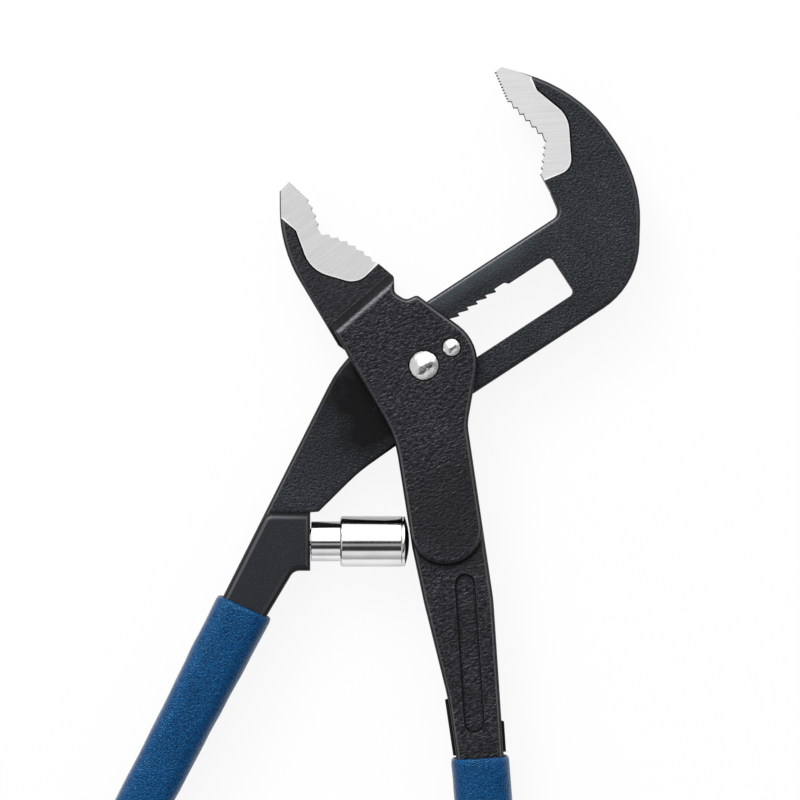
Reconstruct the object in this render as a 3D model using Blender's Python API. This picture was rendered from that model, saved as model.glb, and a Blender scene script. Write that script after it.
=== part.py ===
"""Self-adjusting water pump pliers with a box joint, 250 mm size, jaws open.

The tool lies flat: +Z points up from the back cheek, the origin is on the pivot axis in the
plane of the back cheek, and the handles run towards -Y. All lengths are in metres.
"""
import math

import bmesh
import bpy
from mathutils import Matrix, Vector

# Fits
CLEARANCE = 0.0003          # between pieces that seat on or in each other
SIDE_GAP = 0.0003           # between shank and each cheek
SHOULDER_GAP = 0.0027       # between shank edges and the shoulders of the box joint
LEDGE = 0.00005             # step where a raised forging level leaves the level below

# Thicknesses of the forgings, centred on the mid-plane of the tool
BLADE_THICKNESS = 0.0080    # hook jaw, shank and neck of the slotted arm
CHEEK_THICKNESS = 0.0032    # each cheek of the pivot arm
JAW_THICKNESS = 0.0090      # front jaw of the pivot arm
TANG_THICKNESS = 0.0116     # both handles and the boss
GROUND_DEPTH = 0.0003       # grinding of the jaw flats below the forged skin

# Edges of the forgings
FORGED_EDGE = 0.0009        # rounding of hook, neck and jaw back
SHANK_EDGE = 0.0009         # rounding of the shank
CHEEK_EDGE = 0.0009         # rounding of the cheeks
CHEEK_RAMP = 0.0023         # slope from cheek down to jaw
TANG_EDGE = 0.0015          # rounding of the boss and the handle below it
SHAFT_EDGE = 0.0008         # rounding of the pivot arm's handle
BOSS_EDGE = 0.0009          # rounding round the plunger's seat
EDGE_SHARE = 0.8            # widest rounding as a part of the corner radius that it runs round

# Shank and slot of the slotted arm, u along the slot from the pivot, v across it
SLOT_ANGLE = math.radians(33.2)
SHANK_UPPER = 0.0122        # slot centreline to upper edge
SHANK_LOWER = 0.0119        # slot centreline to lower edge
SHANK_STRAIGHT = 0.0080     # distance behind the pivot where the lower edge starts to drop
NECK_DROP = 0.0007          # extra depth of the lower edge where the neck starts
NECK_START = 0.0265         # distance behind the pivot where the neck bends to the boss
NECK_BEND = 0.0300          # radius on the outside of the bend
NECK_HOLLOW = 0.0400        # radius on the inside of the bend
NECK_LEAN = math.radians(0.7)   # turn of the neck's outer edge from the handle's
NECK_FOOT = (0.0021, 0.0002)    # from the boss's upper corner to where the neck's lower edge leaves it
SLOT_WIDTH = 0.01034
SLOT_FRONT = 0.0391         # pivot to the front end of the slot
SLOT_CORNER = 0.0012
RACK_PITCH = 0.00257
RACK_DEPTH = 0.00082
RACK_TEETH = 12
RACK_FRONT = 0.0237         # pivot to the tip of the front rack tooth
RACK_RELIEF = 0.0029        # length of the run-out in front of the rack

# Hook jaw, measured from the front end of the slot: (u, v, corner radius)
HOOK_TIP = (0.01266, 0.04859)
HOOK_FLAT = (0.01144, 0.04126)
HOOK_ROOF = (0.01379, 0.02897)
HOOK_HEEL = (0.00847, 0.02265)
HOOK_THROAT = (0.00808, 0.01770)
HOOK_THROAT_FOOT = 0.0071
HOOK_THROAT_RADIUS = 0.0022
HOOK_BACK = [(0.01336, 0.0189), (0.0275, 0.0083, 0.0308), (0.0275, 0.0339, 0.0372), (0.0146, 0.04875, 0.0008)]
HOOK_GROUND = [(0.0200, 0.0470, 0.0), (0.01855, 0.0396, 0.0008), (0.0214, 0.0305, 0.0070),
               (0.0153, 0.0196, 0.0036), (0.0066, 0.0212, 0.0), (0.0020, 0.0300, 0.0),
               (0.0060, 0.0520, 0.0), (0.0170, 0.0540, 0.0)]

# Front jaw of the pivot arm, (x, y) from the pivot
JAW_TIP = (-0.0316, 0.0432)
JAW_FLAT = (-0.0272, 0.0391)
JAW_VEE = (-0.0244, 0.0314)
JAW_HEEL = (-0.0107, 0.0240)
JAW_BACK = [(-0.0339, 0.0409, 0.0), (-0.03385, 0.03235, 0.0320), (-0.03146, 0.0237, 0.0320)]
JAW_SHOULDER = (-0.0201, 0.0047)
JAW_SHOULDER_RADIUS = 0.0006
JAW_GROUND = [(-0.0360, 0.0367, 0.0), (-0.0300, 0.0317, 0.0006), (-0.0266, 0.0224, 0.0080),
              (-0.0156, 0.0192, 0.0050), (-0.0096, 0.0250, 0.0), (-0.0060, 0.0380, 0.0),
              (-0.0250, 0.0500, 0.0), (-0.0400, 0.0500, 0.0)]
HEEL_NOTCH = [(-0.0042, 0.0154, 0.0020), (-0.0069, 0.0171, 0.0016), (-0.0070, 0.0209, 0.0012)]
RAMP_FOOT = [(-0.0085, 0.0213), (-0.0221, 0.0095)]
HEEL_COVER = 0.6            # part of the heel, from the notch, that the cheeks cover

# Cheeks and handle of the pivot arm, edges from top to bottom: (x, y, corner radius)
LEFT_EDGE = [(-0.0174, 0.0013, 0.0), (-0.0068, -0.0170, 0.0250), (-0.00425, -0.0332, 0.0020),
             (-0.00275, -0.0427, 0.0060), (0.0, -0.0556, 0.0300), (0.0056, -0.0781, 0.0400)]
RIGHT_EDGE = [(-0.0016, 0.0166, 0.0012), (0.0136, 0.0054, 0.0110), (0.01025, -0.0137, 0.0110),
              (0.01635, -0.0550, 0.0400)]
CHEEK_LEAN = math.radians(117.0)    # direction of the cheek's left edge below the jaw
PAD_LEVEL = -0.0382         # level of the centre of the cheek's round lower end
PANEL_TOP = (0.0095, -0.0488)
PANEL_END = (0.0120, -0.0863)
PANEL_WIDTH = 0.0049
PANEL_DEPTH = 0.0009
FLASH_PROUD = 0.00065       # parting ridge left on the handle by the forging dies
FLASH_THICKNESS = 0.0015
FLASH_LENGTH_LEFT = 0.0138
FLASH_LENGTH_RIGHT = 0.0078

# Rows of teeth from the jaw's tip to its heel: count, depth, lean of the roots, bulge of the row
HOOK_TEETH = [(10, 0.00038, 0.4, 0.0), (6, 0.00070, 0.3, 0.0), (5, 0.00055, 0.3, 0.0), (8, 0.00022, 0.5, 0.0)]
JAW_TEETH = [(9, 0.00025, 0.65, 0.0), (4, 0.00055, 0.7, 0.0004), (7, 0.00065, 0.7, 0.0011)]

# Handles and grips
LEFT_GRIP_TOP = (-0.0423, -0.0570)
LEFT_HANDLE_ANGLE = math.radians(242.7)
RIGHT_GRIP_TOP = (0.0132, -0.0920)
RIGHT_HANDLE_ANGLE = math.radians(274.6)
TANG_WIDTH = 0.0112
TANG_WAIST = 0.0101
WAIST_AT = 0.0420
WAIST_RADIUS = 0.0600
TANG_END = 0.42 * TANG_WAIST    # corner radius of the tang's end
GRIP_LENGTH = 0.1080
GRIP_WALL = 0.0010
GRIP_GAP = 0.00025
GRIP_END_WALL = 0.0030
GRIP_EDGE = 0.0028
GRIP_END = 0.5 * TANG_WAIST     # corner radius of the grip's end
GRIP_LIP = 0.5 * GRIP_WALL      # rounding of the lip
LEFT_LIP_LEAN = 0.0007          # how much further up the dip reaches on the right edge of each handle
RIGHT_LIP_LEAN = -0.0004
GRIP_CAVITY_EDGE = 0.9 * min(TANG_EDGE, SHAFT_EDGE)
GRIP_RUN_OUT = 0.0040           # length of the cavity past the lip

# Plunger between the handles, turned about an axis along X
PLUNGER_LEVEL = -0.0414
BOSS_HEIGHT = 0.0137
BOSS_REACH = 0.0038         # boss face beyond the handle's inner edge
BOSS_LEAN = math.radians(3.5)   # turn of the inner edge below the boss from the handle's
BOSS_HOLLOW = 0.0024        # corner radius between boss and handle
BOSS_CORNER = 0.0030        # corner radius at the boss's upper left
SLEEVE_DIAMETER = 0.0119
SLEEVE_WALL = 0.00045
SLEEVE_LENGTH = 0.0153
SLEEVE_LIP = 0.0008         # inturned lip that the collar stops
SLEEVE_CHAMFER = 0.0004
PLUNGER_FIT = 0.00025       # radial running fit of the sleeve on guide and collar
COLLAR_DIAMETER = SLEEVE_DIAMETER - 2 * (SLEEVE_WALL + PLUNGER_FIT)
COLLAR_STEP = 0.00055       # collar's height above the guide
COLLAR_LENGTH = 0.0040
GUIDE_DIAMETER = COLLAR_DIAMETER - 2 * COLLAR_STEP
GUIDE_WALL = 0.0009
SPRING_BORE = GUIDE_DIAMETER - 2 * GUIDE_WALL
BORE_FLOOR = 0.0009
STEM_DIAMETER = 0.64 * GUIDE_DIAMETER
STEM_LENGTH = 0.0096
PLUG_LENGTH = 0.0029
CAP_PROUD = 0.0009
SPRING_DIAMETER = SPRING_BORE - 2 * CLEARANCE
SPRING_WIRE = 0.0010
SPRING_TURNS = 7
SPRING_STEPS = 10           # straight pieces in one turn

# Rivets and slide block
PIVOT_HEAD = 0.0069
PIVOT_SHANK = 0.0050
PIVOT_DOME = 0.0015
STOP_DISTANCE = 0.00775     # pivot to stop rivet along the slot
STOP_HEAD = 0.0042
STOP_SHANK = 0.0024
STOP_DOME = 0.0010
HEAD_SEAT = 0.0006          # depth of the seat for each rivet head
TAIL_FLARE = 0.0007         # extra radius of the rivet's upset tail
TAIL_LENGTH = 0.0012
BLOCK_FRONT = 0.0050
BLOCK_BACK = 0.0061
BLOCK_CORNER = 0.0006

# Closing motion of the pivot arm
SWING = math.radians(27.5)

ARC_STEP = math.radians(9.0)
ARC_SAG = 0.00003           # greatest height of an arc over its chord
ARC_SHARE = 0.98            # part of a side that its two arcs may take
FLAT = math.radians(0.2)    # faces that turn less than this are one flat face
MERGE = 1e-7
ROUND_SEGMENTS = 28
RIVET_SEGMENTS = 24
BORE_SEGMENTS = 20
DOME_STEPS = 6
PAD_STEPS = 12
PANEL_STEPS = 8

MID = BLADE_THICKNESS / 2 + SIDE_GAP + CHEEK_THICKNESS


def along(u, v):
    """Point at u along the slot and v across it."""
    c, s = math.cos(SLOT_ANGLE), math.sin(SLOT_ANGLE)
    return (u * c - v * s, u * s + v * c)


def meet(p, a, q, b):
    """Crossing of the line through p at angle a with the line through q at angle b."""
    cross = math.cos(a) * math.sin(b) - math.sin(a) * math.cos(b)
    t = ((q[0] - p[0]) * math.sin(b) - (q[1] - p[1]) * math.cos(b)) / cross
    return (p[0] + t * math.cos(a), p[1] + t * math.sin(a))


def rounded(corners):
    """Closed outline through corners (x, y, radius, edge rounding), with an arc at each radius.

    Two arcs that would meet on a side share its length.
    """
    spots = [Vector(corner[:2]) for corner in corners]
    sides = [ahead - here for here, ahead in zip(spots, spots[1:] + spots[:1])]
    turns = [sides[i - 1].angle(side) for i, side in enumerate(sides)]
    wanted = [corner[2] * math.tan(turn / 2) for corner, turn in zip(corners, turns)]
    outline = []
    for i, (x, y, radius, edge) in enumerate(corners):
        here, back, ahead, turn = spots[i], -sides[i - 1], sides[i], turns[i]
        if radius <= 0 or turn < 0.01:
            outline.append((x, y, edge))
            continue
        after = (i + 1) % len(corners)
        reach = wanted[i] * min(1.0, ARC_SHARE * back.length / (wanted[i] + wanted[i - 1]),
                                ARC_SHARE * ahead.length / (wanted[i] + wanted[after]))
        radius = reach / math.tan(turn / 2)
        middle = here + (back.normalized() + ahead.normalized()).normalized() * radius / math.cos(turn / 2)
        first = here + back.normalized() * reach - middle
        side = 1.0 if back.x * ahead.y - back.y * ahead.x < 0 else -1.0
        steps = max(1, math.ceil(turn / min(ARC_STEP, 2 * math.acos(max(0.0, 1 - ARC_SAG / radius)))))
        for k in range(steps + 1):
            spoke = Matrix.Rotation(side * turn * k / steps, 2) @ first
            outline.append((middle.x + spoke.x, middle.y + spoke.y, edge))
    return outline


def offset(outline, distance):
    """The same outline moved outwards, or inwards for a negative distance."""
    moved = []
    for i, (x, y, edge) in enumerate(outline):
        here = Vector((x, y))
        before = (here - Vector(outline[i - 1][:2])).normalized()
        after = (Vector(outline[(i + 1) % len(outline)][:2]) - here).normalized()
        normal = Vector((before.y + after.y, -before.x - after.x))
        normal *= 2 / max(normal.length_squared, 0.5)
        moved.append((x + normal.x * distance, y + normal.y * distance, edge))
    return moved


def inside(point, area):
    """Whether a point lies inside a closed outline."""
    x, y = point[:2]
    hits = [x < x0 + (x1 - x0) * (y - y0) / (y1 - y0)
            for (x0, y0, _), (x1, y1, _) in zip(area, area[1:] + area[:1]) if (y0 > y) != (y1 > y)]
    return sum(hits) % 2 == 1


def square_rims(outline, area):
    """The outline with no rounding on the rims inside an area that is ground flat later."""
    return [(x, y, 0.0 if inside((x, y), area) else edge) for x, y, edge in outline]


def teeth(p, q, count, depth, lean, bulge=0.0):
    """Corners of a row of saw teeth from p to q, whose tips stand out by the bulge halfway."""
    start, run = Vector(p), (Vector(q) - Vector(p)) / count
    inward = Vector((-run.y, run.x)).normalized()
    row = []
    for i in range(count):
        for step, sunk in ((i, 0.0), (i + lean, depth)):
            share = step / count
            spot = start + run * step + inward * (sunk - 4 * bulge * share * (1 - share))
            row.append((spot.x, spot.y, 0.0, 0.0))
    return row


def new_object(name, mesh):
    thing = bpy.data.objects.new(name, mesh)
    bpy.context.scene.collection.objects.link(thing)
    return thing


def settle(thing):
    """Replace an object's mesh by its evaluated mesh, as plain triangles, and drop its modifiers."""
    bpy.context.view_layer.update()
    mesh = bpy.data.meshes.new_from_object(thing.evaluated_get(bpy.context.evaluated_depsgraph_get()))
    thing.modifiers.clear()
    thing.data = mesh
    bm = bmesh.new()
    bm.from_mesh(mesh)
    bmesh.ops.remove_doubles(bm, verts=bm.verts, dist=MERGE)
    bmesh.ops.triangulate(bm, faces=bm.faces)
    bm.to_mesh(mesh)
    bm.free()
    return thing


def simplify(thing):
    """Dissolve the edges inside flat faces that the cuts have left."""
    bm = bmesh.new()
    bm.from_mesh(thing.data)
    bmesh.ops.dissolve_limit(bm, angle_limit=FLAT, verts=bm.verts, edges=bm.edges)
    bmesh.ops.triangulate(bm, faces=bm.faces)
    bm.to_mesh(thing.data)
    bm.free()


def prism(name, outline, low, high, segments=3):
    """Solid of an outline between two levels, with its rims rounded by each edge's own width."""
    if sum(a[0] * b[1] - b[0] * a[1] for a, b in zip(outline, outline[1:] + outline[:1])) < 0:
        outline = outline[::-1]
    bm = bmesh.new()
    weight = bm.edges.layers.float.new("bevel_weight_edge")
    widest = max(edge for _, _, edge in outline)
    bottom = [bm.verts.new((x, y, low)) for x, y, _ in outline]
    top = [bm.verts.new((x, y, high)) for x, y, _ in outline]
    bm.faces.new(reversed(bottom))
    bm.faces.new(top)
    for i in range(len(outline)):
        j = (i + 1) % len(outline)
        bm.faces.new((bottom[i], bottom[j], top[j], top[i]))
        for ring in (bottom, top):
            if widest > 0:
                bm.edges.get((ring[i], ring[j]))[weight] = outline[i][2] / widest
    mesh = bpy.data.meshes.new(name)
    bm.to_mesh(mesh)
    bm.free()
    thing = new_object(name, mesh)
    if widest > 0:
        bevel = thing.modifiers.new("Rim", 'BEVEL')
        bevel.limit_method = 'WEIGHT'
        bevel.width = widest
        bevel.segments = segments
        bevel.use_clamp_overlap = False
        settle(thing)
    return thing


def turned(name, profile, closed=False, segments=None):
    """Solid of revolution about local Z from a profile of (z, radius) points."""
    segments = segments or ROUND_SEGMENTS
    bm = bmesh.new()
    rings = []
    for z, radius in profile:
        if radius <= 0:
            rings.append([bm.verts.new((0, 0, z))])
        else:
            rings.append([bm.verts.new((radius * math.cos(2 * math.pi * k / segments),
                                        radius * math.sin(2 * math.pi * k / segments), z))
                          for k in range(segments)])
    pairs = list(zip(rings, rings[1:])) + ([(rings[-1], rings[0])] if closed else [])
    for a, b in pairs:
        for k in range(segments):
            j = (k + 1) % segments
            corners = [a[k % len(a)], a[j % len(a)], b[j % len(b)], b[k % len(b)]]
            bm.faces.new(list(dict.fromkeys(corners)))
    if bm.calc_volume(signed=True) < 0:
        bmesh.ops.reverse_faces(bm, faces=bm.faces)
    mesh = bpy.data.meshes.new(name)
    bm.to_mesh(mesh)
    bm.free()
    return new_object(name, mesh)


def boolean(thing, tool, operation):
    """Join a tool body to an object, or cut it out, and remove the tool."""
    modifier = thing.modifiers.new(operation, 'BOOLEAN')
    modifier.operation = operation
    modifier.solver = 'EXACT'
    modifier.object = tool
    settle(thing)
    bpy.data.objects.remove(tool)
    return thing


def at_level(edge_line, y):
    """Point of an edge line, given from top to bottom, at a level."""
    for (x0, y0, edge), (x1, y1, _) in zip(edge_line, edge_line[1:]):
        if y0 >= y > y1:
            return (x0 + (x1 - x0) * (y0 - y) / (y0 - y1), y, edge)
    return edge_line[-1]


def material(name, colour, roughness, metallic):
    finish = bpy.data.materials.new(name)
    finish.use_nodes = True
    shader = finish.node_tree.nodes["Principled BSDF"]
    shader.inputs["Base Color"].default_value = (*colour, 1.0)
    shader.inputs["Roughness"].default_value = roughness
    shader.inputs["Metallic"].default_value = metallic
    finish.diffuse_color = (*colour, 1.0)
    return finish


def handle(top, angle, grow, length, edge, end_radius):
    """Corners of a handle from its top left round its end to its top right, widened by grow."""
    axis = Vector((math.cos(angle), math.sin(angle)))
    right = Vector((-axis.y, axis.x))
    stations = [(length, TANG_WAIST / 2 + grow, end_radius), (WAIST_AT, TANG_WAIST / 2 + grow, WAIST_RADIUS),
                (0.0, TANG_WIDTH / 2 + grow, 0.0)]
    sides = {}
    for sign in (-1, 1):
        sides[sign] = []
        for distance, half, radius in stations:
            point = Vector(top) + axis * distance + right * sign * half
            sides[sign].append((point.x, point.y, radius, edge))
    return sides[-1][::-1] + sides[1]


def edge_line(points, last):
    """Smooth edge of the pivot arm from top to bottom, ending at the handle's corner."""
    corners = [(x, y, radius if i else 0.0, 0.0) for i, (x, y, radius) in enumerate(points)]
    return rounded(corners + [(last[0], last[1], 0.0, 0.0)])


def place(thing, parent, location=(0, 0, 0), rotation=(0, 0, 0)):
    thing.parent = parent
    thing.location = location
    thing.rotation_euler = rotation


for leftover in list(bpy.data.objects):
    bpy.data.objects.remove(leftover)

black = material("black_forging", (0.026, 0.027, 0.031), 0.45, 0.3)
chrome = material("chrome", (0.75, 0.75, 0.76), 0.12, 1.0)
steel = material("plain_steel", (0.42, 0.42, 0.43), 0.35, 1.0)
vinyl = material("blue_vinyl", (0.008, 0.076, 0.262), 0.5, 0.0)
nylon = material("black_nylon", (0.012, 0.012, 0.014), 0.4, 0.0)

# Empties: the slotted arm's frame, the slide on the pivot, the hinge on it, and the plunger's axis.
frame = bpy.data.objects.new("slotted_arm_frame", None)
slide = bpy.data.objects.new("jaw_slide_axis", None)
hinge = bpy.data.objects.new("arm_pivot_axis", None)
push = bpy.data.objects.new("plunger_slide_axis", None)
for empty in (frame, slide, hinge, push):
    bpy.context.scene.collection.objects.link(empty)
frame.location = (0, 0, MID)
slide.parent = frame
slide.rotation_euler = (0, 0, SLOT_ANGLE)
hinge.parent = slide
hinge.rotation_euler = (0, 0, -SLOT_ANGLE)
push.parent = frame
push.location = (0, PLUNGER_LEVEL, 0)

# Handle outlines: the tang of each arm inside its grip, and where the arm above meets it.
tang_length = GRIP_LENGTH - GRIP_END_WALL
left_tang = handle(LEFT_GRIP_TOP, LEFT_HANDLE_ANGLE, 0.0, tang_length, 0.0, TANG_END)
right_tang = handle(RIGHT_GRIP_TOP, RIGHT_HANDLE_ANGLE, 0.0, tang_length, 0.0, TANG_END)

# Slotted arm. Its inner handle edge runs up from the tang to the boss that seats the plunger.
boss_top = PLUNGER_LEVEL + BOSS_HEIGHT / 2
boss_bottom = PLUNGER_LEVEL - BOSS_HEIGHT / 2
inner_foot = meet(left_tang[-1][:2], LEFT_HANDLE_ANGLE - BOSS_LEAN, (0, boss_bottom), 0.0)
boss_face = inner_foot[0] + BOSS_REACH
outer_angle = LEFT_HANDLE_ANGLE + NECK_LEAN
bend = meet(left_tang[0][:2], outer_angle, along(0, SHANK_UPPER), SLOT_ANGLE)
step_left = meet(left_tang[0][:2], outer_angle, (0, boss_top), 0.0)


def hook(u, v, radius=0.0, edge=0.0):
    x, y = along(SLOT_FRONT + u, v)
    return (x, y, radius, edge)


lower_part = ([(*step_left, BOSS_CORNER, TANG_EDGE)]
              + [(x, y, radius, TANG_EDGE) for x, y, radius, _ in left_tang]
              + [(*inner_foot, BOSS_HOLLOW, TANG_EDGE), (boss_face, boss_bottom, 0.0, BOSS_EDGE),
                 (boss_face, boss_top, 0.0, TANG_EDGE)])
neck_foot = (boss_face + NECK_FOOT[0], boss_top + NECK_FOOT[1])
neck_bend = along(-NECK_START, -SHANK_LOWER - NECK_DROP)
blade = [hook(*HOOK_TIP)]
rows = [HOOK_TIP, HOOK_FLAT, HOOK_ROOF, HOOK_HEEL, HOOK_THROAT]
for start, end, row in zip(rows, rows[1:], HOOK_TEETH):
    blade = blade[:-1] + teeth(hook(*start)[:2], hook(*end)[:2], *row) + [hook(*end)]
blade[-1] = hook(*HOOK_THROAT, edge=FORGED_EDGE)
blade += [hook(HOOK_THROAT_FOOT, SHANK_UPPER, HOOK_THROAT_RADIUS, SHANK_EDGE), (*bend, NECK_BEND, FORGED_EDGE)]
blade += [(*step_left, 0.0, 0.0)] + [(x, y, radius, 0.0) for x, y, radius, _ in lower_part[1:-1]]
blade += [(boss_face, boss_top, 0.0, 0.0), (*neck_foot, 0.0, FORGED_EDGE),
          (*neck_bend, NECK_HOLLOW, SHANK_EDGE), (*along(-SHANK_STRAIGHT, -SHANK_LOWER), 0.0, SHANK_EDGE),
          hook(HOOK_BACK[0][0], -SHANK_LOWER, HOOK_BACK[0][1], FORGED_EDGE)]
blade += [hook(u, v, radius, FORGED_EDGE) for u, v, radius in HOOK_BACK[1:-1]]
blade += [hook(*HOOK_BACK[-1])]

half_blade, half_tang = BLADE_THICKNESS / 2, TANG_THICKNESS / 2
ground = rounded([hook(u, v, radius) for u, v, radius in HOOK_GROUND])
slotted_arm = prism("slotted_arm", square_rims(rounded(blade), ground), -half_blade, half_blade)
raised = prism("raised", offset(rounded(lower_part), -LEDGE), -half_tang, half_tang)
boolean(slotted_arm, raised, 'UNION')

# The slot, with the rack cut into its upper edge. The steep faces look towards the hook.
half_slot = SLOT_WIDTH / 2
slot = [(-BLOCK_BACK - CLEARANCE, -half_slot, SLOT_CORNER, 0.0), (SLOT_FRONT, -half_slot, SLOT_CORNER, 0.0),
        (SLOT_FRONT, half_slot, SLOT_CORNER, 0.0),
        (RACK_FRONT + RACK_RELIEF + RACK_DEPTH, half_slot, 0.0, 0.0),
        (RACK_FRONT + RACK_RELIEF, half_slot + RACK_DEPTH, RACK_DEPTH, 0.0),
        (RACK_FRONT, half_slot + RACK_DEPTH, 0.0, 0.0)]
for i in range(RACK_TEETH):
    tip = RACK_FRONT - i * RACK_PITCH
    if tip - RACK_PITCH < -BLOCK_BACK:
        break
    slot += [(tip, half_slot, 0.0, 0.0), (tip - RACK_PITCH, half_slot + RACK_DEPTH, 0.0, 0.0)]
slot += [(slot[-1][0], half_slot, 0.0, 0.0), (-BLOCK_BACK - CLEARANCE, half_slot, SLOT_CORNER, 0.0)]
slot = [(*along(u, v), radius, edge) for u, v, radius, edge in slot]
boolean(slotted_arm, prism("slot", rounded(slot), -BLADE_THICKNESS, BLADE_THICKNESS), 'DIFFERENCE')

# The hook's flats are ground on both faces, and the boss is bored for the plunger's stem.
for low, high in ((half_blade - GROUND_DEPTH, BLADE_THICKNESS), (-BLADE_THICKNESS, GROUND_DEPTH - half_blade)):
    boolean(slotted_arm, prism("ground", ground, low, high), 'DIFFERENCE')
bore_radius = STEM_DIAMETER / 2 + CLEARANCE
bore = turned("bore", [(-STEM_LENGTH - CLEARANCE, 0), (-STEM_LENGTH - CLEARANCE, bore_radius),
                       (STEM_LENGTH, bore_radius), (STEM_LENGTH, 0)], segments=BORE_SEGMENTS)
bore.matrix_world = Matrix.Translation((boss_face, PLUNGER_LEVEL, 0)) @ Matrix.Rotation(math.pi / 2, 4, 'Y')
boolean(slotted_arm, bore, 'DIFFERENCE')
simplify(slotted_arm)
slotted_arm.data.materials.append(black)
place(slotted_arm, frame)

# Pivot arm: jaw level, cheeks above and below it, and the thinner handle.
left_line = edge_line(LEFT_EDGE, right_tang[0])
right_line = edge_line(RIGHT_EDGE, right_tang[-1])
back_angle = math.atan2(JAW_SHOULDER[1] - JAW_BACK[-1][1], JAW_SHOULDER[0] - JAW_BACK[-1][0])
ramp_left = meet(RAMP_FOOT[1], back_angle, LEFT_EDGE[0][:2], CHEEK_LEAN)
jaw = [(*JAW_TIP, 0.0, 0.0)] + [(*point, FORGED_EDGE) for point in JAW_BACK]
jaw += [(*JAW_SHOULDER, JAW_SHOULDER_RADIUS, 0.0), (*ramp_left, 0.0, 0.0)]
jaw += [(x, y, 0.0, 0.0) for x, y, _ in left_line]
jaw += [(x, y, radius, 0.0) for x, y, radius, _ in right_tang[1:-1]]
jaw += [(x, y, 0.0, 0.0) for x, y, _ in reversed(right_line[1:])]
jaw += [(x, y, radius, 0.0) for x, y, radius in [RIGHT_EDGE[0]] + HEEL_NOTCH]
rows = [JAW_HEEL, JAW_VEE, JAW_FLAT, JAW_TIP]
for start, end, row in zip(rows, rows[1:], JAW_TEETH[::-1]):
    jaw += teeth(start, end, *row)
half_jaw = JAW_THICKNESS / 2
ground = rounded([(x, y, radius, 0.0) for x, y, radius in JAW_GROUND])
pivot_arm = prism("pivot_arm", rounded(jaw), -half_jaw, half_jaw)

pad_left, pad_right = at_level(left_line, PAD_LEVEL), at_level(right_line, PAD_LEVEL)
pad_centre = ((pad_left[0] + pad_right[0]) / 2, PAD_LEVEL)
pad_radius = (pad_right[0] - pad_left[0]) / 2
cheek_edge = min(CHEEK_EDGE, EDGE_SHARE * RIGHT_EDGE[0][2], EDGE_SHARE * HEEL_NOTCH[-1][2])
notch = rounded([(*right_line[1][:2], 0.0, 0.0)] + [(x, y, r, 0.0) for x, y, r in [RIGHT_EDGE[0]] + HEEL_NOTCH]
                + [(*JAW_HEEL, 0.0, 0.0)])[1:-1]
heel_inner = Vector(notch[-1][:2]).lerp(Vector(JAW_HEEL), HEEL_COVER)
cheek = [(*heel_inner, 0.0), (*RAMP_FOOT[1], cheek_edge), (*ramp_left, cheek_edge)]
cheek += [(x, y, cheek_edge) for x, y, _ in left_line if y > PAD_LEVEL]
for k in range(PAD_STEPS + 1):
    a = math.pi * (1 + k / PAD_STEPS)
    cheek.append((pad_centre[0] + pad_radius * math.cos(a), PAD_LEVEL + pad_radius * math.sin(a), cheek_edge))
cheek += [(x, y, cheek_edge) for x, y, _ in reversed(right_line[1:]) if y > PAD_LEVEL]
cheek += [(x, y, cheek_edge) for x, y, _ in notch]
cheeks = prism("cheeks", offset(cheek, -LEDGE), -MID, MID)

# Each cheek slopes down to the jaw: a wedge along the foot line is cut from both faces.
ramp_run = Vector((*RAMP_FOOT[1], 0)) - Vector((*RAMP_FOOT[0], 0))
ramp_depth = Vector((-ramp_run.y, ramp_run.x, 0)).normalized()
sunk, proud = half_jaw - LEDGE, 2 * MID
slope_end = CHEEK_RAMP * (proud - sunk) / (MID - sunk)
for face in (1, -1):
    section = [(-proud, face * sunk, 0.0), (0.0, face * sunk, 0.0), (slope_end, face * proud, 0.0),
               (-proud, face * proud, 0.0)]
    wedge = prism("wedge", section, -0.5, 1.5)
    turn = Matrix((ramp_depth, (0, 0, 1), ramp_run)).transposed().to_4x4()
    wedge.matrix_world = Matrix.Translation((*RAMP_FOOT[0], 0)) @ turn
    boolean(cheeks, wedge, 'DIFFERENCE')
boolean(pivot_arm, cheeks, 'UNION')


def rivet(name, head, shank, dome):
    """Rivet with a domed head in a seat on the front cheek and a flush tail at the back."""
    angles = [math.pi / 2 * k / DOME_STEPS for k in range(DOME_STEPS)]
    crown = [(MID + dome * math.sin(a), head / 2 * math.cos(a)) for a in angles] + [(MID + dome, 0)]
    seat = MID - HEAD_SEAT + CLEARANCE
    profile = [(-MID, 0), (-MID, shank / 2 + TAIL_FLARE), (-MID + TAIL_LENGTH, shank / 2), (seat, shank / 2),
               (seat, head / 2)]
    return turned(name, profile + crown, segments=RIVET_SEGMENTS)


def rivet_hole(head, shank):
    """Hole for a rivet through both cheeks, with the head's seat and the tail's countersink."""
    fit = shank / 2 + CLEARANCE
    profile = [(-MID - TAIL_LENGTH, 0), (-MID - TAIL_LENGTH, fit + 2 * TAIL_FLARE), (-MID + TAIL_LENGTH, fit),
               (MID - HEAD_SEAT, fit), (MID - HEAD_SEAT, head / 2 + CLEARANCE),
               (MID + HEAD_SEAT, head / 2 + CLEARANCE), (MID + HEAD_SEAT, 0)]
    return turned("rivet_hole", profile, segments=RIVET_SEGMENTS)


pivot_rivet = rivet("pivot_rivet", PIVOT_HEAD, PIVOT_SHANK, PIVOT_DOME)
stop_rivet = rivet("stop_rivet", STOP_HEAD, STOP_SHANK, STOP_DOME)
boolean(pivot_arm, rivet_hole(PIVOT_HEAD, PIVOT_SHANK), 'DIFFERENCE')
stop_place = (*along(STOP_DISTANCE, 0), 0)
stop_hole = rivet_hole(STOP_HEAD, STOP_SHANK)
stop_hole.location = stop_place
boolean(pivot_arm, stop_hole, 'DIFFERENCE')

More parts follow.
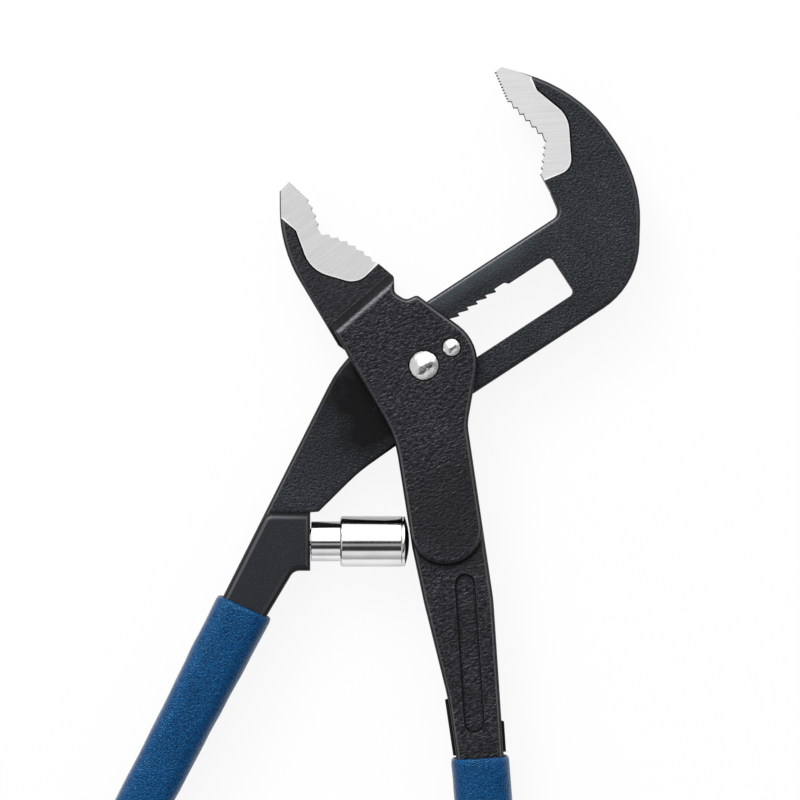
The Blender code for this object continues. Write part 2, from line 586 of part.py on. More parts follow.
tang_top = PAD_LEVEL + pad_radius / 2
shaft = [at_level(left_line, tang_top)] + [p for p in left_line if p[1] < tang_top]
shaft += [(x, y, 0.0) for x, y, _ in rounded([(*left_line[-1][:2], 0.0, 0.0)]
                                             + [(x, y, r, 0.0) for x, y, r, _ in right_tang[1:-1]]
                                             + [(*right_line[-1][:2], 0.0, 0.0)])[1:-1]]
shaft += [p for p in reversed(right_line) if p[1] < tang_top] + [at_level(right_line, tang_top)]
shaft = [(x, y, SHAFT_EDGE) for x, y, _ in shaft]
boolean(pivot_arm, prism("shaft", offset(shaft, -2 * LEDGE), -half_tang, half_tang), 'UNION')

# Parting ridge on both edges of the handle, running up to the grip.
grip_up = Vector((-math.cos(RIGHT_HANDLE_ANGLE), -math.sin(RIGHT_HANDLE_ANGLE)))
for line, length, sign in ((left_line, FLASH_LENGTH_LEFT, -1), (right_line, FLASH_LENGTH_RIGHT, 1)):
    foot = Vector(line[-1][:2]) + grip_up * CLEARANCE * 2
    head = Vector(at_level(line, foot.y + length)[:2])
    out = Vector((sign * FLASH_PROUD, 0))
    top = head + out - (head - foot).normalized() * FLASH_PROUD
    ridge = [foot + out, top, head - out * 2, foot - out * 2]
    ridge = [(p.x, p.y, 0.0) for p in (ridge if sign > 0 else ridge[::-1])]
    boolean(pivot_arm, prism("ridge", ridge, -FLASH_THICKNESS / 2, FLASH_THICKNESS / 2), 'UNION')

# The box joint: the shank's path at both ends of the swing, cut out between the cheeks.
swung = SLOT_ANGLE + SWING


def rail(v, swing, u=0.0):
    """Point on the shank's edge at v, seen from the pivot arm after it has swung."""
    p = Matrix.Rotation(swing, 2) @ Vector(along(u, v))
    return (p.x, p.y)


far = -1.5 * PAD_LEVEL      # well past both ends of the box joint
upper, lower = SHANK_UPPER + SHOULDER_GAP, -SHANK_LOWER - SHOULDER_GAP
upper_corner = meet(rail(upper, 0.0), SLOT_ANGLE, rail(upper, SWING), swung)
lower_corner = meet(rail(lower, 0.0), SLOT_ANGLE, rail(lower, SWING), swung)
path = [rail(lower, 0.0, far), rail(upper, SWING, far), upper_corner,
        rail(upper, 0.0, -far), rail(lower, SWING, -far), lower_corner]
reach = half_blade + SIDE_GAP
boolean(pivot_arm, prism("path", [(x, y, 0.0) for x, y in path], -reach, reach), 'DIFFERENCE')

# Ground flats on both faces of the jaw, and the sunk panel on the front of the handle.
for low, high in ((half_jaw - GROUND_DEPTH, MID * 2), (-MID * 2, GROUND_DEPTH - half_jaw)):
    boolean(pivot_arm, prism("ground", ground, low, high), 'DIFFERENCE')
panel_run = (Vector(PANEL_END) - Vector(PANEL_TOP)).normalized()
panel_side = Vector((-panel_run.y, panel_run.x)) * PANEL_WIDTH / 2
panel = []
for middle, sign in ((Vector(PANEL_END), 1), (Vector(PANEL_TOP), -1)):
    middle = middle - panel_run * sign * PANEL_WIDTH / 2
    for k in range(PANEL_STEPS + 1):
        a = math.pi * k / PANEL_STEPS
        p = middle - sign * panel_side * math.cos(a) + sign * panel_run * PANEL_WIDTH / 2 * math.sin(a)
        panel.append((p.x, p.y, 0.0))
boolean(pivot_arm, prism("panel", panel, half_tang - PANEL_DEPTH, MID), 'DIFFERENCE')

simplify(pivot_arm)
pivot_arm.data.materials.append(black)
place(pivot_arm, hinge)
for fastener, spot in ((pivot_rivet, (0, 0, 0)), (stop_rivet, stop_place)):
    fastener.data.materials.append(chrome)
    place(fastener, hinge, spot)

# Slide block in the slot, with teeth that look away from the hook, held clear of the rack.
block_half = half_slot - CLEARANCE
block = [(-BLOCK_BACK, -block_half, BLOCK_CORNER, 0.0), (BLOCK_FRONT, -block_half, BLOCK_CORNER, 0.0),
         (BLOCK_FRONT, block_half - RACK_DEPTH, 0.0, 0.0)]
count = int((BLOCK_FRONT + BLOCK_BACK) / RACK_PITCH)
for i in range(count):
    tip = BLOCK_FRONT - i * RACK_PITCH - RACK_PITCH
    block += [(tip, block_half, 0.0, 0.0), (tip, block_half - RACK_DEPTH, 0.0, 0.0)]
block += [(-BLOCK_BACK, block_half - RACK_DEPTH, 0.0, 0.0)]
slide_block = prism("slide_block", rounded(block), -half_blade, half_blade)
fit = PIVOT_SHANK / 2 + CLEARANCE
hole = turned("hole", [(-MID, 0), (-MID, fit), (MID, fit), (MID, 0)], segments=RIVET_SEGMENTS)
boolean(slide_block, hole, 'DIFFERENCE')
slide_block.data.materials.append(steel)
place(slide_block, slide)

# Plunger, turned pieces on one axis. The cap's dome stands just clear of the pivot arm's edge.
cap_radius = SLEEVE_DIAMETER / 2 - SLEEVE_WALL - PLUNGER_FIT
sphere = (cap_radius ** 2 + CAP_PROUD ** 2) / (2 * CAP_PROUD)
nose = min(at_level(left_line, PLUNGER_LEVEL + h)[0] + sphere - math.sqrt(sphere ** 2 - h ** 2)
           for h in (cap_radius * k / 20 for k in range(-20, 21))) - CLEARANCE
sleeve_right = nose - CAP_PROUD
sleeve_left = sleeve_right - SLEEVE_LENGTH
collar_left = sleeve_left + SLEEVE_LIP + CLEARANCE
collar_right = collar_left + COLLAR_LENGTH
guide_left = boss_face + CLEARANCE
stroke = sleeve_left - boss_face - CLEARANCE
along_x = (0, math.pi / 2, 0)

plunger_guide = turned("plunger_guide", [
    (boss_face - STEM_LENGTH, 0), (boss_face - STEM_LENGTH, STEM_DIAMETER / 2), (guide_left, STEM_DIAMETER / 2),
    (guide_left, GUIDE_DIAMETER / 2), (collar_left, GUIDE_DIAMETER / 2), (collar_left, COLLAR_DIAMETER / 2),
    (collar_right, COLLAR_DIAMETER / 2), (collar_right, SPRING_BORE / 2),
    (guide_left + BORE_FLOOR, SPRING_BORE / 2), (guide_left + BORE_FLOOR, 0)])
plunger_guide.data.materials.append(chrome)
place(plunger_guide, frame, (0, PLUNGER_LEVEL, 0), along_x)

sleeve_inner = SLEEVE_DIAMETER / 2 - SLEEVE_WALL
lip_radius = GUIDE_DIAMETER / 2 + PLUNGER_FIT
plunger_sleeve = turned("plunger_sleeve", [
    (sleeve_left, lip_radius), (sleeve_left, SLEEVE_DIAMETER / 2 - SLEEVE_CHAMFER),
    (sleeve_left + SLEEVE_CHAMFER, SLEEVE_DIAMETER / 2),
    (sleeve_right, SLEEVE_DIAMETER / 2), (sleeve_right, sleeve_inner), (sleeve_left + SLEEVE_LIP, sleeve_inner),
    (sleeve_left + SLEEVE_LIP, lip_radius)], closed=True)
plunger_sleeve.data.materials.append(chrome)
place(plunger_sleeve, push, rotation=along_x)

rims = [cap_radius * (1 - k / DOME_STEPS) for k in range(DOME_STEPS)]
dome = [(nose - sphere + math.sqrt(sphere ** 2 - rim ** 2), rim) for rim in rims]
plug_left = sleeve_right - PLUG_LENGTH
plunger_cap = turned("plunger_cap", [(plug_left, 0), (plug_left, cap_radius)] + dome + [(nose, 0)])
plunger_cap.data.materials.append(nylon)
place(plunger_cap, push, rotation=along_x)

spring_start = guide_left + BORE_FLOOR + CLEARANCE + SPRING_WIRE / 2
spring_end = plug_left - CLEARANCE - SPRING_WIRE / 2
coil_radius = (SPRING_DIAMETER - SPRING_WIRE) / 2
coil = []
for k in range(SPRING_TURNS * SPRING_STEPS + 1):
    share = k / (SPRING_TURNS * SPRING_STEPS)
    a = 2 * math.pi * SPRING_TURNS * share
    coil.append(Vector((coil_radius * math.cos(a), coil_radius * math.sin(a),
                        spring_start + (spring_end - spring_start) * share)))
curve = bpy.data.curves.new("plunger_spring", 'CURVE')
curve.dimensions = '3D'
curve.bevel_depth = SPRING_WIRE / 2
curve.bevel_resolution = 1
curve.use_fill_caps = True
spline = curve.splines.new('POLY')
spline.points.add(len(coil) - 1)
for point, spot in zip(spline.points, coil):
    point.co = (*spot, 1.0)
wire = new_object("wire", curve)
bpy.context.view_layer.update()
swept = bpy.data.meshes.new_from_object(wire.evaluated_get(bpy.context.evaluated_depsgraph_get()))
bpy.data.objects.remove(wire)
plunger_spring = settle(new_object("plunger_spring", swept))
plunger_spring.data.materials.append(steel)
place(plunger_spring, push, rotation=along_x)
self_gap = min((a - b).length for i, a in enumerate(coil) for b in coil[i + SPRING_STEPS // 2:]) - SPRING_WIRE
print(f"spring: least gap to itself {self_gap * 1000:.2f} mm, stroke {stroke * 1000:.2f} mm")

# Dipped grips: a skin of even thickness over each tang, open at the top, with a softly rounded lip.
grips = [("left_grip", LEFT_GRIP_TOP, LEFT_HANDLE_ANGLE, frame, LEFT_LIP_LEAN),
         ("right_grip", RIGHT_GRIP_TOP, RIGHT_HANDLE_ANGLE, hinge, RIGHT_LIP_LEAN)]
for name, top, angle, parent, lean in grips:
    grow = GRIP_GAP + GRIP_WALL
    outer = handle(top, angle, grow, GRIP_LENGTH, GRIP_EDGE, GRIP_END)
    outer[-1] = (outer[-1][0] - lean * math.cos(angle), outer[-1][1] - lean * math.sin(angle), 0.0, GRIP_LIP)
    grip = prism(name, rounded(outer), -half_tang - grow, half_tang + grow)
    inner = handle(top, angle, GRIP_GAP, tang_length + GRIP_GAP, GRIP_CAVITY_EDGE, TANG_END)
    run_x, run_y = GRIP_RUN_OUT * math.cos(angle), GRIP_RUN_OUT * math.sin(angle)
    inner[0] = (inner[0][0] - run_x, inner[0][1] - run_y, 0.0, GRIP_CAVITY_EDGE)
    inner[-1] = (inner[-1][0] - run_x, inner[-1][1] - run_y, 0.0, 0.0)
    boolean(grip, prism("cavity", rounded(inner), -half_tang - GRIP_GAP, half_tang + GRIP_GAP), 'DIFFERENCE')
    grip.data.materials.append(vinyl)
    place(grip, parent)

for thing in bpy.data.objects:
    if thing.type == 'MESH':
        thing.data.shade_smooth()
        thing.data.set_sharp_from_angle(angle=math.radians(30))
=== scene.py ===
"""Water pump pliers with a box joint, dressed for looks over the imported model."""
import math

import bmesh
import bpy
from mathutils import Matrix, Vector, noise


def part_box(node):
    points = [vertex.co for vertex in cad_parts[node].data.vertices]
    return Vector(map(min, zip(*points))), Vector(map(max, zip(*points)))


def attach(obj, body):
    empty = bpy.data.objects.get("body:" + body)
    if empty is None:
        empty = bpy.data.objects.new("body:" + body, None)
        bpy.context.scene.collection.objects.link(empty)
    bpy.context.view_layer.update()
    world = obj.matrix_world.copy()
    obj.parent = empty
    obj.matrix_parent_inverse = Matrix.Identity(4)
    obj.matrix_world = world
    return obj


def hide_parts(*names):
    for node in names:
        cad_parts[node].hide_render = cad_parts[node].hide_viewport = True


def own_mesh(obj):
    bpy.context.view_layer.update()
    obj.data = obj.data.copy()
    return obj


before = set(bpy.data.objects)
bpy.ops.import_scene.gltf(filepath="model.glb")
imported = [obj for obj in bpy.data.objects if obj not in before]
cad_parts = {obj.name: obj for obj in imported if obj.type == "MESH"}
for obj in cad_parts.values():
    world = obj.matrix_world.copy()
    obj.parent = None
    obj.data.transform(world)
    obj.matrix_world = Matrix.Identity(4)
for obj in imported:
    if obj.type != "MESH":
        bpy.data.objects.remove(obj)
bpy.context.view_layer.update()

# Slotted arm: one steel forging with the hook jaw, the slotted shank and the tang of the left handle.
# It is coated black all over, with the fine wrinkled skin of a drop forging under the coat, and the
# faces beside the hook's teeth are ground bright after coating.
MID_PLANE = 0.0075
GROUND_DEPTH = 0.0003
HOOK_GROUND_LEVEL = 0.0037
SHANK_UPPER_EDGE = 0.0122
SLIDE_AXIS = (0.836764, 0.547563, 0.0)
SLIDE_SIDE = (-0.547563, 0.836764, 0.0)
STEP_LEAN = 0.00045
LEVEL_FIT = 2e-5
MERGE_DISTANCE = 2e-6


class Wire:
    """One value in a finish. Arithmetic on it adds Math nodes to the same finish."""

    def __init__(self, tree, socket=None):
        self.tree, self.socket = tree, socket

    def node(self, kind, settings=None, sockets=None, out=0):
        """Add a node, with its settings first and its sockets after them, and give one of its outputs."""
        made = self.tree.nodes.new("ShaderNode" + kind)
        for name, value in (settings or {}).items():
            if name == "stops":
                while len(made.color_ramp.elements) < len(value):
                    made.color_ramp.elements.new(0.5)
                for stop, (at, tone) in zip(made.color_ramp.elements, value):
                    stop.position = at
                    stop.color = (tone, tone, tone, 1.0)
            else:
                setattr(made, name, value)
        for key, value in (sockets or {}).items():
            if isinstance(value, Wire):
                self.tree.links.new(value.socket, made.inputs[key])
            else:
                made.inputs[key].default_value = value
        return Wire(self.tree, made.outputs[out])

    def sum(self, operation, a, b):
        """The result of a Math node on two values."""
        return self.node("Math", {"operation": operation}, {0: a, 1: b})

    def __add__(self, other):
        return self.sum("ADD", self, other)

    def __radd__(self, other):
        return self.sum("ADD", other, self)

    def __sub__(self, other):
        return self.sum("SUBTRACT", self, other)

    def __rsub__(self, other):
        return self.sum("SUBTRACT", other, self)

    def __mul__(self, other):
        return self.sum("MULTIPLY", self, other)

    def most(self, other):
        """The larger of two values."""
        return self.sum("MAXIMUM", self, other)

    def size(self):
        """The value without its sign."""
        return self.sum("ABSOLUTE", self, 0.0)

    def between(self, low, high):
        """0 below low, 1 above high and a straight rise between them."""
        return self.node("MapRange", {"clamp": True}, {0: self, 1: low, 2: high, 3: 0.0, 4: 1.0})

    def blend(self, first, second):
        """First colour where this value is 0, second where it is 1."""
        colours = [tone if isinstance(tone, Wire) else (*tone, 1.0) for tone in (first, second)]
        return self.node("Mix", {"data_type": 'RGBA'}, {0: self, 6: colours[0], 7: colours[1]}, out=2)

    def axes(self):
        """X, Y and Z of a vector."""
        parted = self.node("SeparateXYZ", sockets={0: self}).socket.node
        return [Wire(self.tree, socket) for socket in parted.outputs]

    def along(self, direction):
        """How far a vector reaches in a direction."""
        return self.node("VectorMath", {"operation": 'DOT_PRODUCT'}, {0: self, 1: direction}, out="Value")


def new_finish(name):
    """An empty finish with its starting wire and its shader's sockets."""
    made = bpy.data.materials.new(name)
    made.use_nodes = True
    return made, Wire(made.node_tree), made.node_tree.nodes["Principled BSDF"].inputs


def drive(sockets, **wires):
    """Link wires to a shader's sockets."""
    for name, wire in wires.items():
        wire.tree.links.new(wire.socket, sockets[name.replace("_", " ")])


def placed(name, bm, *finishes):
    """A smooth piece of the scene, made from a finished bmesh."""
    for face in bm.faces:
        face.smooth = True
    mesh = bpy.data.meshes.new(name)
    bm.to_mesh(mesh)
    bm.free()
    for finish in finishes:
        mesh.materials.append(finish)
    piece = bpy.data.objects.new(name, mesh)
    bpy.context.scene.collection.objects.link(piece)
    return piece


def coated_skin(name, wrinkles, turn, crease_shade, crest_highlight, tint, skin_level, darkened_patch, flat_relief=1.0,
                rim_highlight=0.12, even_level=1.0, sheen_edge=None):
    """Black coat over a forged skin whose wrinkles have a length, a width, a depth and a direction.

    Painted shade dulls it on slopes, in corners and, by a share called crease_shade, between the
    wrinkles, whose tops are painted paler as a highlight and whose hollows darker as shade. Sharp convex
    edges are paler with wear, and rims not turned to -Y are painted paler as a highlight. Beside the
    ground flats, at the skin level, the wrinkles have a relief of their own, and faces further from the
    mid-plane than the even level, none unless it is given, are nearly smooth. A dark patch darkens the
    skin at a place; on the hook's neck beside the front cheek it is painted shade. It is full up to one
    radius, ends at another, fills the wrinkles by a share and dulls the coat by a share. A rail under a
    sheen edge is smooth, up to a height over the line that the joint slides along, and a band just under
    that edge is painted paler as a highlight.
    """
    length, width, depth = wrinkles
    made, coat, shader = new_finish(name)
    spot = coat.node("TexCoord", out="Object")
    laid = coat.node("Mapping", {"vector_type": 'TEXTURE'},
                     {"Vector": spot, "Rotation": (0.0, 0.0, turn), "Scale": (length, width, width)})
    wrinkle = coat.node("TexNoise", sockets={"Vector": laid, "Scale": 1.0, "Detail": 2.0, "Roughness": 0.5,
                                             "Distortion": 0.6})
    grain = coat.node("TexNoise", sockets={"Vector": spot, "Scale": 2600.0, "Detail": 2.0})
    patch = coat.node("TexNoise", sockets={"Vector": spot, "Scale": 110.0, "Detail": 3.0})

    tilt = coat.node("NewGeometry", out="True Normal").axes()
    facing = tilt[2].size()
    away = (spot.axes()[2] - MID_PLANE).size()
    off_skin = (away - skin_level).size().between(0.0002, 0.0004)
    slope = 1.0 - facing.between(0.72, 0.86)
    rim = facing.between(0.78, 0.90) * (1.0 - facing.between(0.975, 0.997)) * tilt[1].between(-0.25, 0.0)
    even = away.between(even_level, even_level + 0.0004) * 0.85

    relief = (1.0 - even) * (0.3 + patch * 1.4) * (flat_relief + off_skin * (1.0 - flat_relief))
    reach = coat.node("VectorMath", {"operation": 'DISTANCE'},
                      {0: spot, 1: (*darkened_patch["at"], MID_PLANE)}, out="Value")
    patch_darkening = ((1.0 - reach.between(darkened_patch["full"], darkened_patch["ends"])) * (0.5 + patch)).between(0.25, 0.9)
    relief = relief * (1.0 - patch_darkening * darkened_patch["fills"])
    if sheen_edge:
        ahead, over = spot.along(SLIDE_AXIS), spot.along(SLIDE_SIDE)
        sheen_band = (over.between(sheen_edge - 0.0042, sheen_edge - 0.0014)
                   * (1.0 - over.between(sheen_edge - 0.0008, sheen_edge - 0.0003))
                   * ahead.between(-0.002, 0.004) * (1.0 - ahead.between(0.030, 0.042))
                   * (0.55 + patch * 0.9))
        smoothed = over.between(0.0, 0.007) * (1.0 - ahead.between(0.032, 0.044))
        relief = relief * (1.0 - smoothed * 0.6)
    height = wrinkle * relief * (0.25 + facing.between(0.975, 0.998) * 0.75) + grain * 0.1
    soft_edge = coat.node("Bevel", {"samples": 6}, {"Radius": 0.0004})

    corner = 1.0 - coat.node("AmbientOcclusion", {"samples": 8, "inside": True, "only_local": True},
                             {"Distance": 0.0004}, out="AO")
    # Paler base colour on sharp convex edges, from wear, and on rims not turned to -Y, as a painted
    # highlight.
    bare = corner.between(0.28, 0.48) * (0.2 + patch) * off_skin
    wear_and_highlight = (rim * (rim_highlight + patch * 0.5) + bare * (1.0 - slope)).between(0.0, 1.0)
    # Wrinkle tops are painted paler, a painted highlight, and their hollows darker, a painted shade.
    lit_crests = (wrinkle * 0.8 + patch * 0.2).between(0.38, 0.66) * (1.0 - even) + even * 0.2
    skin = lit_crests.blend((0.0008, 0.0009, 0.0016), crest_highlight)
    # Darker skin in the dark patch; on the hook's neck beside the front cheek it is painted shade of the
    # cheek.
    skin = (patch_darkening * 0.8).blend(skin, (0.0010, 0.0010, 0.0012))
    # Painted highlight: a paler band just under the shank's upper edge, where light from above lies on its
    # rounding.
    if sheen_edge:
        skin = sheen_band.blend(skin, (0.040, 0.050, 0.058))
    drive(shader, Base_Color=wear_and_highlight.blend(skin, (0.12, 0.12, 0.125)),
          Roughness=0.24 + even * 0.12 + patch * 0.06 + grain * 0.08,
          Normal=coat.node("Bump", sockets={"Strength": 1.0, "Distance": depth, "Height": height,
                                            "Normal": soft_edge}))
    shader["Specular IOR Level"].default_value = 0.55
    shader["Specular Tint"].default_value = (*tint, 1.0)

    # Dull coat mixed in as painted shade: on slopes, between the wrinkles, in occluded corners and in the
    # dark patch.
    dull = coat.node("BsdfPrincipled", sockets={"Base Color": (0.0030, 0.0030, 0.0036, 1.0),
                                                "Roughness": 0.6, "Specular IOR Level": 0.12})
    open_air = coat.node("AmbientOcclusion", {"samples": 8, "only_local": True},
                         {"Distance": 0.0014}, out="AO")
    shaded_creases = (1.0 - lit_crests) * relief * crease_shade
    occlusion_shade = (1.0 - open_air.between(0.60, 0.95)) * (1.0 - rim * 0.8)
    # The dark patch also dulls the coat: painted shade beside the front cheek.
    dulled = patch_darkening * (0.5 + patch_darkening * patch_darkening * patch_darkening * 0.45) * darkened_patch["dulls"]
    shaded = (slope * 0.6).most(shaded_creases * (1.0 - rim)).most(occlusion_shade).most(dulled)
    coating = Wire(coat.tree, shader["Base Color"].node.outputs[0])
    layered = coat.node("MixShader", sockets={0: shaded, 1: coating, 2: dull})
    coat.tree.links.new(layered.socket, coat.tree.nodes["Material Output"].inputs["Surface"])
    return made


def ground_steel(name, turn, dull, bright):
    """Steel ground by a belt whose lines run at an angle to X, between a dull and a bright grey."""
    made, steel, shader = new_finish(name)
    spot = steel.node("TexCoord", out="Object")
    turned = steel.node("Mapping", {"vector_type": 'TEXTURE'},
                        {"Vector": spot, "Rotation": (0.0, 0.0, turn)})
    fine = steel.node("Mapping", sockets={"Vector": turned, "Scale": (110.0, 3400.0, 200.0)})
    broad = steel.node("Mapping", sockets={"Vector": turned, "Scale": (60.0, 900.0, 100.0)})
    lines = steel.node("TexNoise", sockets={"Vector": fine, "Scale": 1.0, "Detail": 3.0, "Roughness": 0.6})
    streaks = steel.node("TexNoise", sockets={"Vector": broad, "Scale": 1.0, "Detail": 2.0})
    belt = (lines * 0.75 + streaks * 0.25).between(0.3, 0.7)
    beside = steel.node("AmbientOcclusion", {"samples": 16, "only_local": True},
                        {"Distance": 0.0006}, out="AO")
    tones = belt.blend((dull, dull, dull), (bright, bright, bright))
    # Painted highlight: the ground face is painted near-white where it meets the wall of a step.
    drive(shader, Base_Color=beside.between(0.90, 0.985).blend((0.98, 0.98, 0.98), tones),
          Roughness=0.62 + lines * 0.20,
          Normal=steel.node("Bump", sockets={"Strength": 0.4, "Distance": 0.00003, "Height": lines}))
    shader["Metallic"].default_value = 0.1
    return made


# Leaning wall of the step round each ground flat: near-black, a painted shade standing for the shadow at
# the step's edge.
shaded_step_wall, step_shade, shader = new_finish("shaded_step_wall")
spot = step_shade.node("TexCoord", out="Object")
shade_mottle = step_shade.node("TexNoise", sockets={"Vector": spot, "Scale": 1500.0, "Detail": 3.0})
drive(shader, Base_Color=shade_mottle.blend((0.0006, 0.0006, 0.0008), (0.0030, 0.0030, 0.0034)),
      Roughness=0.5 + shade_mottle * 0.3)
shader["Specular IOR Level"].default_value = 0.10


def off_mid(place):
    """How far a place lies from the mid-plane of both arms."""
    return abs(place.z - MID_PLANE)


def forging(name, node, ground_level, finishes, shape=None):
    """A merged copy of a forged arm, whose faces at the ground level take the second finish.

    The grinding also breaks the edge of the skin that stands round it: its wall leans back and takes the
    third finish, a near-black painted shade for the shadow at the step. A shape, where one is given, is
    struck last.
    """
    bm = bmesh.new()
    bm.from_mesh(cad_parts[node].data)
    bmesh.ops.remove_doubles(bm, verts=bm.verts, dist=MERGE_DISTANCE)
    for face in bm.faces:
        at_ground = abs(off_mid(face.calc_center_median()) - ground_level) < 2 * LEVEL_FIT
        face.material_index = int(abs(face.normal.z) > 0.99 and at_ground)
    bmesh.ops.dissolve_limit(bm, angle_limit=math.radians(0.4), verts=bm.verts, edges=bm.edges,
                             delimit={'MATERIAL'})
    skin_level = ground_level + GROUND_DEPTH
    steps = {face for face in bm.faces if abs(face.normal.z) < 0.1
             and any(other.material_index for side in face.edges for other in side.link_faces)
             and off_mid(face.calc_center_median()) > ground_level
             and all(ground_level - LEVEL_FIT < off_mid(vert.co) < skin_level + LEVEL_FIT
                     for vert in face.verts)}
    for face in steps:
        face.material_index = 2
    for vert in bm.verts:
        walls = [face for face in vert.link_faces if face in steps]
        at_skin = abs(off_mid(vert.co) - skin_level) < LEVEL_FIT
        free = all(face in walls or abs(face.normal.z) > 0.99 for face in vert.link_faces)
        if walls and at_skin and free:
            lean = sum((face.normal for face in walls), Vector()).normalized()
            vert.co -= lean * STEP_LEAN
    if shape:
        shape(bm)
        bmesh.ops.remove_doubles(bm, verts=bm.verts, dist=MERGE_DISTANCE)
    bm.normal_update()
    for edge in bm.edges:
        sides = {face.material_index == 1 for face in edge.link_faces}
        edge.smooth = len(sides) == 1 and edge.calc_face_angle(0.0) < math.radians(48)
    piece = placed(name, bm, *finishes)
    piece.modifiers.new("Even", 'WEIGHTED_NORMAL').keep_sharp = True
    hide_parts(node)
    return piece


# On the hook, the dark patch beside the front cheek's edge is painted shade of the cheek, and the paler
# band under the shank's upper edge is a painted highlight.
hook_coat = coated_skin(
    "hook_coat", wrinkles=(0.00056, 0.00046, 0.00022), turn=0.05, crease_shade=0.35, crest_highlight=(0.016, 0.019, 0.026),
    tint=(0.87, 0.92, 1.0), skin_level=HOOK_GROUND_LEVEL + GROUND_DEPTH, even_level=0.0044,
    darkened_patch={"at": (-0.0105, -0.0075), "full": 0.003, "ends": 0.042, "fills": 0.0, "dulls": 1.0},
    sheen_edge=SHANK_UPPER_EDGE)
hook_grinding = ground_steel("hook_grinding", turn=0.05, dull=0.59, bright=0.70)
hook_forging = forging("hook_forging", "slotted_arm", HOOK_GROUND_LEVEL,
                       [hook_coat, hook_grinding, shaded_step_wall])
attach(hook_forging, "slotted_arm")

# Grips: each tang is dipped in blue vinyl, which cures as a skin with a fine leathery grain, a soft
# rounded lip where the dip ends and a blunt rounded end. Both handles are dipped alike.
GRIP_LENGTH = 0.1080
GRIP_HALF_WIDTH = 0.00685
GRIP_WAIST = 0.0063
GRIP_WAIST_AT = 0.0420
GRIP_HALF_THICKNESS = 0.00705
GRIP_WALL = 0.0010
GRIP_SQUARENESS = 0.52
GRIP_STATION = 0.0025
GRIP_END_ROUNDING = 0.0046
GRIP_END_STEPS = 8
GRIP_WAVES = 0.00016
GRIP_WAVES_PER_METRE = 150.0
POCKET_DEPTH = 0.010
LEAN_ENDS_AT = 0.012

dipped_vinyl, vinyl, shader = new_finish("dipped_vinyl")
spot = vinyl.node("TexCoord", out="Object")
pebble = vinyl.node("TexNoise", sockets={"Vector": spot, "Scale": 2700.0, "Detail": 1.0, "Roughness": 0.5,
                                         "Distortion": 0.3})
swell = vinyl.node("TexNoise", sockets={"Vector": spot, "Scale": 160.0, "Detail": 2.0})
# Pebble tops are painted paler as a highlight and their pits darker as shade, both painted.
shade = (pebble * 0.85 + swell * 0.15).between(0.40, 0.63)
drive(shader, Base_Color=shade.blend((0.0004, 0.019, 0.078), (0.0019, 0.069, 0.222)),
      Roughness=0.16 + pebble * 0.10,
      Normal=vinyl.node("Bump", sockets={"Strength": 1.0, "Distance": 0.00028,
                                         "Height": pebble + swell * 0.5}))
shader["Specular IOR Level"].default_value = 0.60
shader["Specular Tint"].default_value = (0.24, 0.66, 1.0, 1.0)


def dipped_grip(name, node, top, angle, lean, body):
    """A dipped skin from its lip, which reaches further up the right edge by a lean, to its blunt end."""
    bm = bmesh.new()
    ring = bmesh.ops.create_circle(bm, segments=64, radius=1.0)["verts"]
    for vert in ring:
        turn = math.atan2(vert.co.y, vert.co.x)
        c, s = math.cos(turn), math.sin(turn)
        vert.co.x = math.copysign(abs(c) ** GRIP_SQUARENESS, c)
        vert.co.y = math.copysign(abs(s) ** GRIP_SQUARENESS, s)
    plain = [vert.co.copy() for vert in ring]

    def half(z):
        share = min(z / GRIP_WAIST_AT, 1.0)
        share = share * share * (3 - 2 * share)
        return GRIP_HALF_WIDTH + (GRIP_WAIST - GRIP_HALF_WIDTH) * share

    def lay(verts, z, inset):
        wide, thick = half(max(z, 0.0)) - inset, GRIP_HALF_THICKNESS - inset
        for vert, unit in zip(verts, plain):
            rise = lean * (1 + unit.x) / 2 * max(0.0, 1 - z / LEAN_ENDS_AT)
            vert.co = Vector((unit.x * wide, unit.y * thick, z - rise))

    pocket = [(POCKET_DEPTH, GRIP_WALL), (0.0011, GRIP_WALL)]
    lip = [(0.0003, GRIP_WALL * 0.86), (0.0, GRIP_WALL * 0.5), (0.0003, GRIP_WALL * 0.14), (0.0011, 0.0)]
    outside = [(k * GRIP_STATION, 0.0) for k in range(1, 42)]
    turns = [math.pi / 2 * k / GRIP_END_STEPS for k in range(GRIP_END_STEPS)]
    end = [(GRIP_LENGTH - GRIP_END_ROUNDING * (1 - math.sin(a)), GRIP_END_ROUNDING * (1 - math.cos(a)))
           for a in turns]
    lay(ring, *pocket[0])
    edges = pocket_floor = list(bm.edges)
    for z, inset in pocket[1:] + lip + outside + end:
        made = bmesh.ops.extrude_edge_only(bm, edges=edges)["geom"]
        verts = [g for g in made if isinstance(g, bmesh.types.BMVert)]
        edges = [g for g in made if isinstance(g, bmesh.types.BMEdge)]
        lay(verts, z, inset)
    for opening in (edges, pocket_floor):
        bmesh.ops.contextual_create(bm, geom=opening)
    bmesh.ops.recalc_face_normals(bm, faces=bm.faces)
    axis = Vector((math.cos(angle), math.sin(angle), 0))
    turned = Matrix((Vector((-axis.y, axis.x, 0)), Vector((0, 0, 1)), axis)).transposed().to_4x4()
    bm.transform(Matrix.Translation((*top, MID_PLANE)) @ turned)
    bm.normal_update()
    for vert in bm.verts:
        vert.co += vert.normal * GRIP_WAVES * noise.noise(vert.co * GRIP_WAVES_PER_METRE)
    piece = placed(name, bm, dipped_vinyl)
    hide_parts(node)
    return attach(piece, body)


dipped_grip("left_dip", "left_grip", (-0.0423, -0.0570), math.radians(242.7), 0.0007, "slotted_arm")
dipped_grip("right_dip", "right_grip", (0.0132, -0.0920), math.radians(274.6), -0.0004, "pivot_arm")

